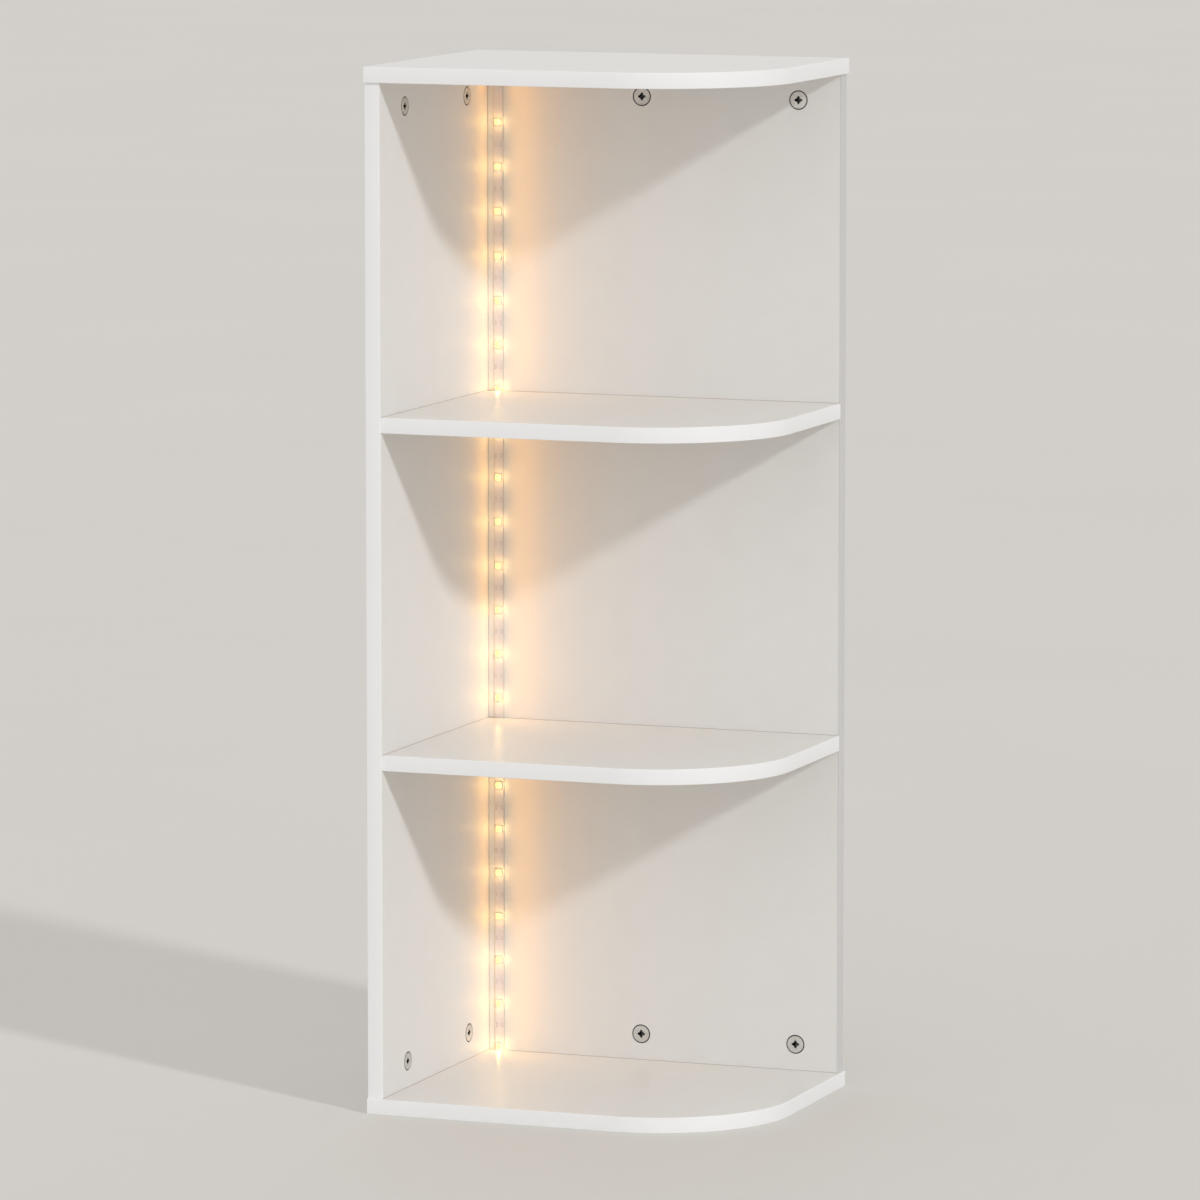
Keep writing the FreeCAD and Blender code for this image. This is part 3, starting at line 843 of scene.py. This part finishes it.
class CORNER_SHELF_OT_fittings(bpy.types.Operator):
    """Finish cam locks, bolts, dowels and screws"""
    bl_idname = "corner_shelf.fittings"
    bl_label = "Fittings"
    bl_options = {"REGISTER", "UNDO"}

    def execute(self, context):
        sizes, finish = context.scene.shelf_sizes, context.scene.shelf_finish
        low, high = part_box("cam_left_top_front")
        diameter, thickness = high.z - low.z, high.x - low.x
        for side, face, axis in (("left", (1, 0.5, 0.5), (1, 0, 0)),
                                 ("right", (0.5, 0, 0.5), (0, 1, 0))):
            cams = [name for name in NODES if name.startswith("cam_" + side)]
            paint(cam_zinc("cam_zinc_" + side, finish, sizes, face, axis, diameter, thickness),
                  *cams)
        paint(metal("plated_steel_screws", finish.steel, roughness=0.3, grain=GRAIN["rolled"],
                    emboss=0.02 * MM),
              "upper_shelf_screws", "lower_shelf_screws", "corner_screws")
        paint(metal("oiled_steel_bolts", finish.oiled_steel, roughness=0.45,
                    grain=GRAIN["rolled"], emboss=0.02 * MM), "top_cam_bolts", "bottom_cam_bolts")
        paint(beech_wood(finish), "top_dowels", "bottom_dowels")
        return {"FINISHED"}


class CORNER_SHELF_OT_supply(bpy.types.Operator):
    """Finish the strip's connector, its inlet pins and the grommet behind them"""
    bl_idname = "corner_shelf.supply"
    bl_label = "Supply inlet"
    bl_options = {"REGISTER", "UNDO"}

    def execute(self, context):
        finish = context.scene.shelf_finish
        paint(coated("connector_nylon", finish.connector_white, roughness=0.5,
                     grain=GRAIN["small part"]), "strip_connector")
        paint(metal("inlet_brass", finish.brass, roughness=0.3, grain=GRAIN["small part"],
                    emboss=0.01 * MM), "inlet_pins")
        paint(coated("grommet_rubber_skin", finish.rubber, roughness=0.65,
                     grain=GRAIN["rubber"], emboss=0.05 * MM), "supply_grommet")
        return {"FINISHED"}


# Distance of a sun's own marker, width of the camera's frame in millimetres, and the nearest
# and farthest that the camera sees
SUN_DISTANCE = 3
FRAME_WIDTH = 36.0
CLIP_START, CLIP_END = 0.1, 200.0


class CORNER_SHELF_OT_stage(bpy.types.Operator):
    """Set the floor, the lamps, the surround and the camera"""
    bl_idname = "corner_shelf.stage"
    bl_label = "Stage"
    bl_options = {"REGISTER", "UNDO"}

    def execute(self, context):
        stage = context.scene.shelf_stage
        strip = StripPlaces(context.scene.shelf_sizes.chip_count)
        self.add_floor(stage)
        self.add_surround(stage)
        self.add_suns(stage)
        self.add_chip_lamps(stage, strip)
        self.add_bay_lamps(stage)
        self.add_camera(stage)
        context.scene.view_settings.view_transform = "Standard"
        return {"FINISHED"}

    def add_floor(self, stage):
        reach = stage.floor_reach
        mesh = bmesh.new()
        mesh.faces.new([mesh.verts.new((x, y, 0)) for x, y in
                        ((-reach, -reach), (reach, -reach), (reach, reach), (-reach, reach))])
        look = Look("floor_pale", Roughness=0.6)
        coating = look.coat(GRAIN["floor"])
        look.give(Base_Color=look.toned(coating["Tone"], stage.floor, dull=0.985))
        data = bpy.data.meshes.new("floor")
        mesh.to_mesh(data)
        mesh.free()
        data.materials.append(look.material)
        floor = bpy.data.objects.new("floor", data)
        place_in_scene(floor)

    def add_surround(self, stage):
        world = bpy.data.worlds.new("surround")
        world.use_nodes = True
        shader = Shader(world.node_tree)
        way = shader.add("TexCoord").outputs["Generated"]
        to_side = shader.ramp(shader.split(way)["X"], 0.1, 0.9)
        tone = shader.mix(to_side, colour(stage.sky), colour(stage.side_sky))
        background = shader.add("Background", {"Color": tone, "Strength": 1.0})
        output = shader.add("OutputWorld")
        shader.feed(output.inputs["Surface"], background.outputs[0])
        bpy.context.scene.world = world

    def add_lamp(self, name, kind, energy, tone, place, way=None, **settings):
        """New lamp that shines along a way, where one is given"""
        data = bpy.data.lights.new(name, kind)
        data.energy = energy
        data.color = tone
        for key, value in settings.items():
            setattr(data, key, value)
        lamp = bpy.data.objects.new(name, data)
        lamp.location = place
        if way:
            lamp.rotation_euler = way.to_track_quat("-Z", "Y").to_euler()
        place_in_scene(lamp)
        return lamp

    def add_suns(self, stage):
        for name, way, energy, softness in (
                ("key", stage.key_direction, stage.key_strength, stage.key_angle),
                ("fill", stage.fill_direction, stage.fill_strength, stage.fill_angle)):
            way = Vector(way).normalized()
            self.add_lamp(name, "SUN", energy, stage.key_tint, -way * SUN_DISTANCE, way,
                          angle=softness)

    def add_chip_lamps(self, stage, strip):
        """A small warm lamp in front of each chip, which only a gloss shows"""
        across, out = stage.chip_lamp
        for index, level in enumerate(strip.levels):
            place = strip.at(level, across, 0, strip.chip_height + out)
            lamp = self.add_lamp(f"chip_glow_{index:02d}", "POINT", stage.chip_power,
                                 stage.chip_glow, place, shadow_soft_size=stage.lamp_radius)
            lamp.visible_camera = False

    def add_bay_lamps(self, stage):
        """One lamp at the strip's top end, and two long ones that wash the panels of each bay"""
        left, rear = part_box("left_panel")[1].x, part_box("right_panel")[0].y
        boards = ("bottom_board", "lower_shelf", "upper_shelf", "top_board")
        floors = [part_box(name)[1].z for name in boards[:-1]]
        ceilings = [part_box(name)[0].z for name in boards[1:]]
        across, out, drop = stage.top_lamp
        lamps = [self.add_lamp("top_glow", "POINT", stage.top_power, stage.bay_glow,
                               (left + across, rear - out, ceilings[-1] - drop),
                               shadow_soft_size=stage.lamp_radius)]
        rear_way = Vector((math.sin(stage.rear_turn), math.cos(stage.rear_turn), 0))
        left_way = Vector((-math.cos(stage.left_turn), -math.sin(stage.left_turn), 0))
        for low, high, bay in zip(floors, ceilings, ("low", "middle", "high")):
            for name, (across, out), way, energy in (
                    ("rear", stage.rear_wash, rear_way, stage.rear_power),
                    ("left", stage.left_wash, left_way, stage.left_power)):
                lamps.append(self.add_lamp(
                    f"wash_{name}_{bay}", "AREA", energy, stage.bay_glow,
                    (left + across, rear - out, (low + high) / 2), way, shape="RECTANGLE",
                    size=stage.wash_width, size_y=(high - low) * stage.wash_share))
        for lamp in lamps:
            lamp.visible_camera = lamp.visible_glossy = False

    def add_camera(self, stage):
        data = bpy.data.cameras.new("camera")
        data.lens = stage.lens
        data.sensor_width = FRAME_WIDTH
        data.clip_start, data.clip_end = CLIP_START, CLIP_END
        camera = bpy.data.objects.new("camera", data)
        camera.location = stage.camera_place
        camera.rotation_euler = (math.pi / 2 - stage.camera_tilt, 0, stage.camera_turn)
        place_in_scene(camera)
        bpy.context.scene.camera = camera


class CORNER_SHELF_PT_sidebar(bpy.types.Panel):
    """Steps and settings of the corner shelf"""
    bl_idname = "CORNER_SHELF_PT_sidebar"
    bl_label = "Corner shelf"
    bl_space_type = "VIEW_3D"
    bl_region_type = "UI"
    bl_category = "Corner shelf"

    def draw(self, context):
        for step in STEPS:
            self.layout.operator(step.bl_idname, text=step.bl_label)
        for settings in SETTINGS:
            group = getattr(context.scene, settings)
            box = self.layout.box()
            for name in group.__annotations__:
                box.prop(group, name)


SETTINGS = {"shelf_sizes": ShelfSizes, "shelf_finish": ShelfFinish, "shelf_stage": ShelfStage}
STEPS = (CORNER_SHELF_OT_effects, CORNER_SHELF_OT_boards, CORNER_SHELF_OT_bands,
         CORNER_SHELF_OT_strip, CORNER_SHELF_OT_chips, CORNER_SHELF_OT_fittings,
         CORNER_SHELF_OT_supply, CORNER_SHELF_OT_stage)
CLASSES = (*SETTINGS.values(), *STEPS, CORNER_SHELF_PT_sidebar)


def register():
    for made in CLASSES:
        bpy.utils.register_class(made)
    for name, group in SETTINGS.items():
        setattr(bpy.types.Scene, name, bpy.props.PointerProperty(type=group))


def unregister():
    for name in SETTINGS:
        delattr(bpy.types.Scene, name)
    for made in reversed(CLASSES):
        bpy.utils.unregister_class(made)


def main():
    register()
    for step in STEPS:
        module, name = step.bl_idname.split(".")
        getattr(getattr(bpy.ops, module), name)()


if __name__ == "__main__":
    main()
